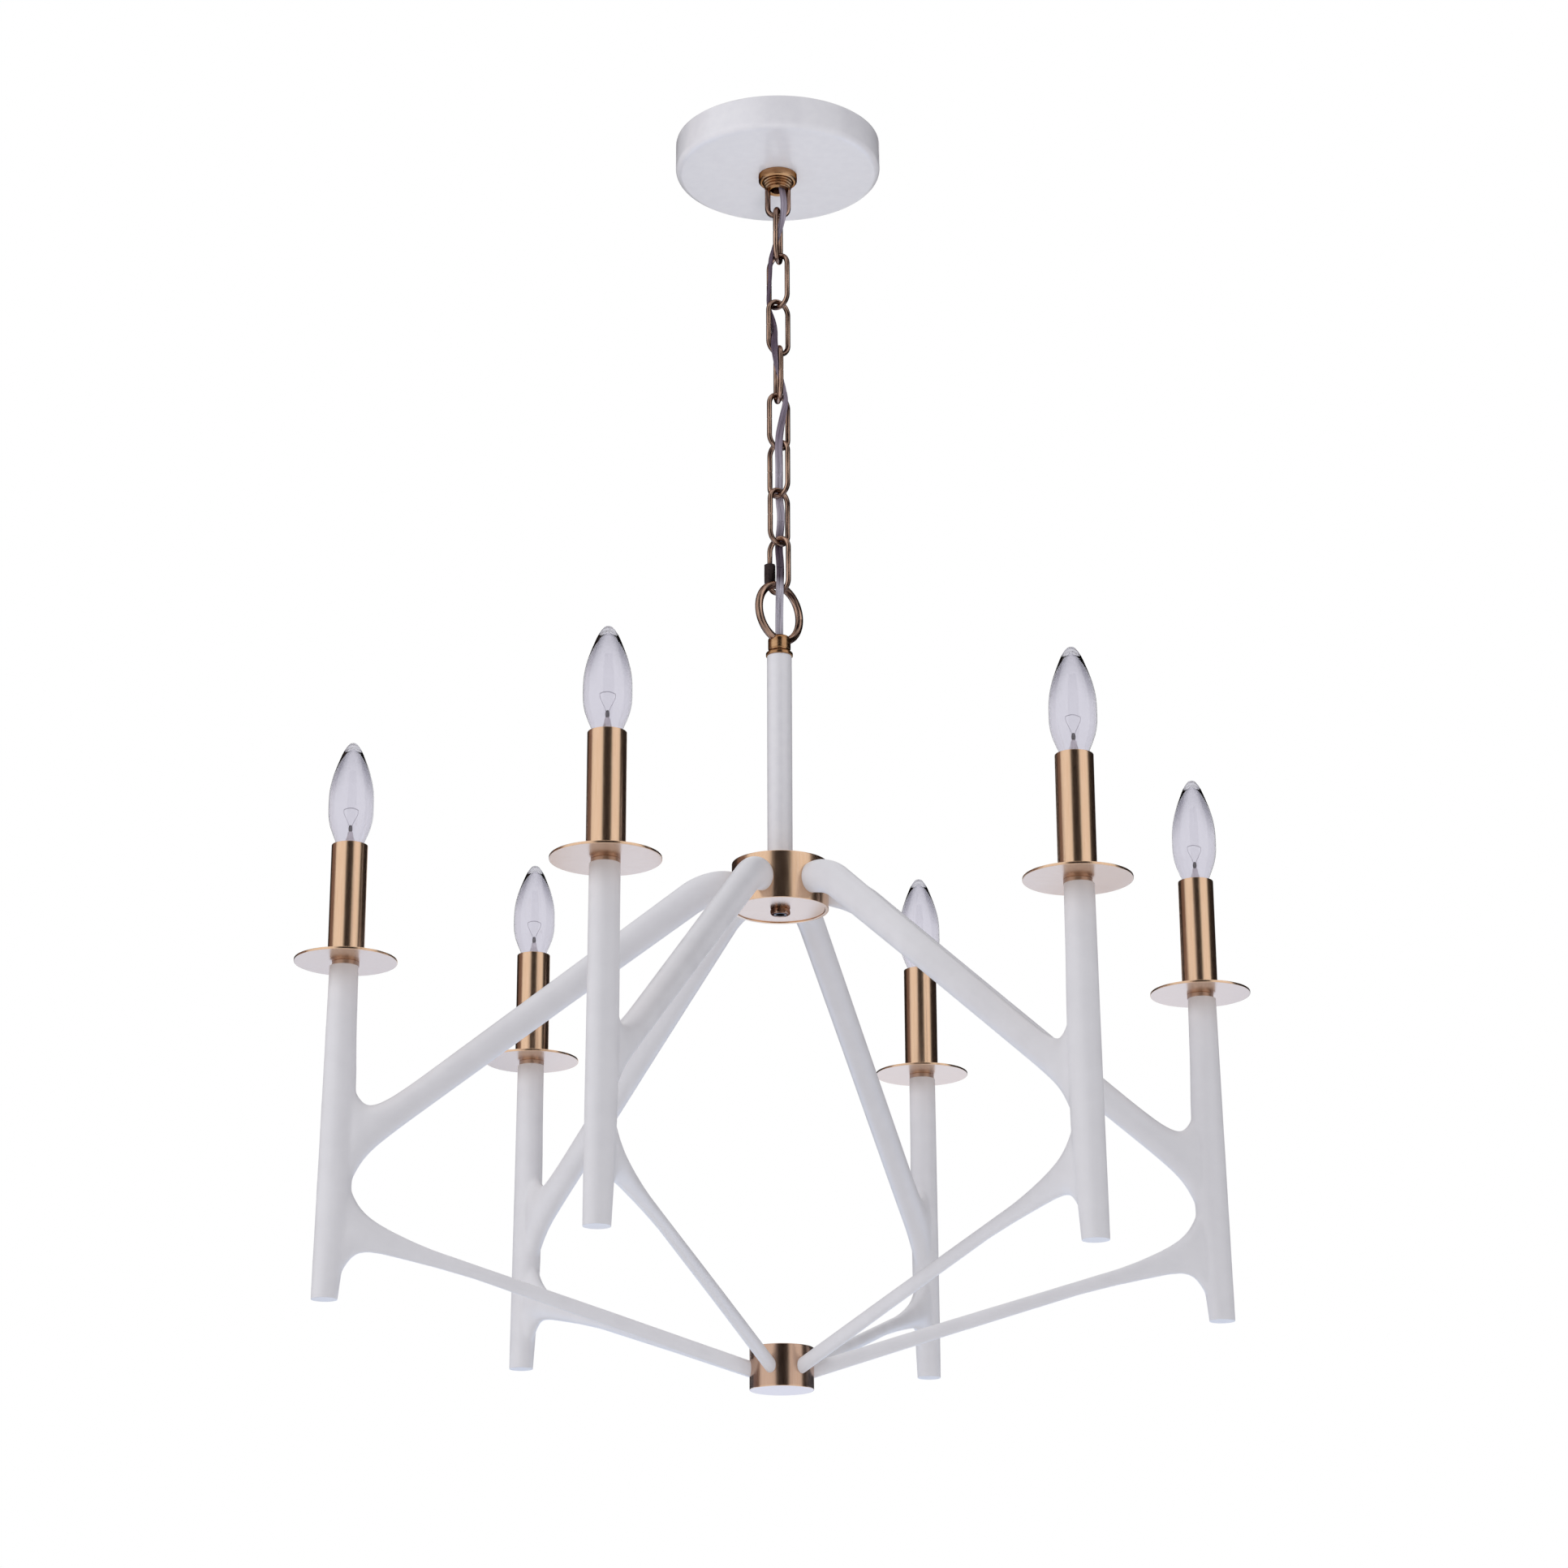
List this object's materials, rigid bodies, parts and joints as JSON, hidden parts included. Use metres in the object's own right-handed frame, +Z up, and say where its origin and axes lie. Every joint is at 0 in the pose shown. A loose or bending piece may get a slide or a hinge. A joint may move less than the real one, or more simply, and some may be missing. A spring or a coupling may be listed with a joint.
{
  "type": "chandelier",
  "caption": "White chandelier with branching cast arms, brass candle sleeves and clear torpedo bulbs, hung by a chain and lead from a round ceiling canopy.",
  "frame": {"origin": "on the ceiling plane, midway between the two outlet-box screws", "axes": "+Z up into the ceiling; +X along the crossbar, towards arm 1; +Y completes the right hand"},
  "size_m": [0.7118, 0.6264, 1.0009],
  "materials": {
    "white_paint": "satin white paint on a casting",
    "canopy_paint": "satin white paint",
    "brushed_brass": "brushed and lacquered",
    "aged_brass": "satin, slightly darker",
    "dark_steel": "blackened",
    "plated_steel": "zinc plated",
    "green_screw": "green",
    "socket_moulding": "moulded",
    "clear_glass": "clear",
    "cap_metal": "nickel plated",
    "clear_cord": "clear sheath over silver strands"
  },
  "bodies": {
    "mount": {"crossbar": "plated_steel", "box_screws": "plated_steel", "ground_screw": "green_screw", "canopy_nipple": "plated_steel", "nipple_locknuts": "plated_steel", "collar_loop": "aged_brass", "supply_cord": "clear_cord"},
    "canopy": {"canopy": "canopy_paint", "collar_ring": "aged_brass"},
    "link_1": {"chain_link_1": "aged_brass"},
    "link_2": {"chain_link_2": "aged_brass"},
    "link_3": {"chain_link_3": "aged_brass"},
    "link_4": {"chain_link_4": "aged_brass"},
    "link_5": {"chain_link_5": "aged_brass"},
    "link_6": {"chain_link_6": "aged_brass"},
    "link_7": {"chain_link_7": "aged_brass"},
    "quick_link": {"quick_link": "aged_brass"},
    "quick_link_nut": {"quick_link_nut": "dark_steel"},
    "fixture": {"hanging_ring": "aged_brass", "stem": "canopy_paint", "stem_pipe": "plated_steel", "upper_hub": "brushed_brass", "upper_hub_cover": "brushed_brass", "cover_nut": "brushed_brass", "lower_hub": "brushed_brass", "lower_hub_cap": "brushed_brass", "arm_screws": "plated_steel", "arm_1": "white_paint", "arm_2": "white_paint", "arm_3": "white_paint", "arm_4": "white_paint", "arm_5": "white_paint", "arm_6": "white_paint", "candle_collars": "brushed_brass", "candle_nipples": "plated_steel", "candle_discs": "brushed_brass", "candle_sleeves": "brushed_brass", "lamp_sockets": "socket_moulding"},
    "bulb_1": {"bulb_glass_1": "clear_glass", "bulb_base_1": "cap_metal"},
    "bulb_2": {"bulb_glass_2": "clear_glass", "bulb_base_2": "cap_metal"},
    "bulb_3": {"bulb_glass_3": "clear_glass", "bulb_base_3": "cap_metal"},
    "bulb_4": {"bulb_glass_4": "clear_glass", "bulb_base_4": "cap_metal"},
    "bulb_5": {"bulb_glass_5": "clear_glass", "bulb_base_5": "cap_metal"},
    "bulb_6": {"bulb_glass_6": "clear_glass", "bulb_base_6": "cap_metal"}
  },
  "joints": [
    {"name": "chain_joint_1", "type": "hinge", "parent": "mount", "child": "link_1", "pos_m": [0, 0, -0.062], "axis": [0.988, -0.1547, 0], "range_deg": [-35, 35], "deforming": ["supply_cord"]},
    {"name": "chain_joint_2", "type": "hinge", "parent": "link_1", "child": "link_2", "pos_m": [0, 0, -0.1019], "axis": [0.3567, 0.9342, 0], "range_deg": [-35, 35], "deforming": ["supply_cord"]},
    {"name": "chain_joint_3", "type": "hinge", "parent": "link_2", "child": "link_3", "pos_m": [0, 0, -0.142], "axis": [-0.6574, 0.7536, 0], "range_deg": [-35, 35], "deforming": ["supply_cord"]},
    {"name": "chain_joint_4", "type": "hinge", "parent": "link_3", "child": "link_4", "pos_m": [0, 0, -0.1821], "axis": [-0.8902, -0.4555, 0], "range_deg": [-35, 35], "deforming": ["supply_cord"]},
    {"name": "chain_joint_5", "type": "hinge", "parent": "link_4", "child": "link_5", "pos_m": [0, 0, -0.2222], "axis": [0.0541, -0.9985, 0], "range_deg": [-35, 35], "deforming": ["supply_cord"]},
    {"name": "chain_joint_6", "type": "hinge", "parent": "link_5", "child": "link_6", "pos_m": [0, 0, -0.2623], "axis": [0.8563, 0.5165, 0], "range_deg": [-35, 35], "deforming": ["supply_cord"]},
    {"name": "chain_joint_7", "type": "hinge", "parent": "link_6", "child": "link_7", "pos_m": [0, 0, -0.3024], "axis": [-0.6307, 0.776, 0], "range_deg": [-35, 35], "deforming": ["supply_cord"]},
    {"name": "chain_joint_8", "type": "hinge", "parent": "link_7", "child": "quick_link", "pos_m": [0, 0, -0.3425], "axis": [0.8181, 0.575, 0], "range_deg": [-35, 35], "deforming": ["supply_cord"]},
    {"name": "quick_nut_slide", "type": "slide", "parent": "quick_link", "child": "quick_link_nut", "axis": [0, 0, 1], "range_m": [0, 0.009]},
    {"name": "fixture_hinge", "type": "hinge", "parent": "quick_link", "child": "fixture", "pos_m": [0, 0, -0.3826], "axis": [-0.6574, 0.7536, 0], "range_deg": [-35, 35], "deforming": ["supply_cord"]},
    {"name": "bulb_1_unscrew", "type": "slide", "parent": "fixture", "child": "bulb_1", "axis": [0, 0, 1], "range_m": [0, 0.012]},
    {"name": "bulb_2_unscrew", "type": "slide", "parent": "fixture", "child": "bulb_2", "axis": [0, 0, 1], "range_m": [0, 0.012]},
    {"name": "bulb_3_unscrew", "type": "slide", "parent": "fixture", "child": "bulb_3", "axis": [0, 0, 1], "range_m": [0, 0.012]},
    {"name": "bulb_4_unscrew", "type": "slide", "parent": "fixture", "child": "bulb_4", "axis": [0, 0, 1], "range_m": [0, 0.012]},
    {"name": "bulb_5_unscrew", "type": "slide", "parent": "fixture", "child": "bulb_5", "axis": [0, 0, 1], "range_m": [0, 0.012]},
    {"name": "bulb_6_unscrew", "type": "slide", "parent": "fixture", "child": "bulb_6", "axis": [0, 0, 1], "range_m": [0, 0.012]},
    {"name": "canopy_drop", "type": "slide", "parent": "mount", "child": "canopy", "axis": [0, 0, -1], "range_m": [0, 0.02], "deforming": ["supply_cord"]}
  ]
}
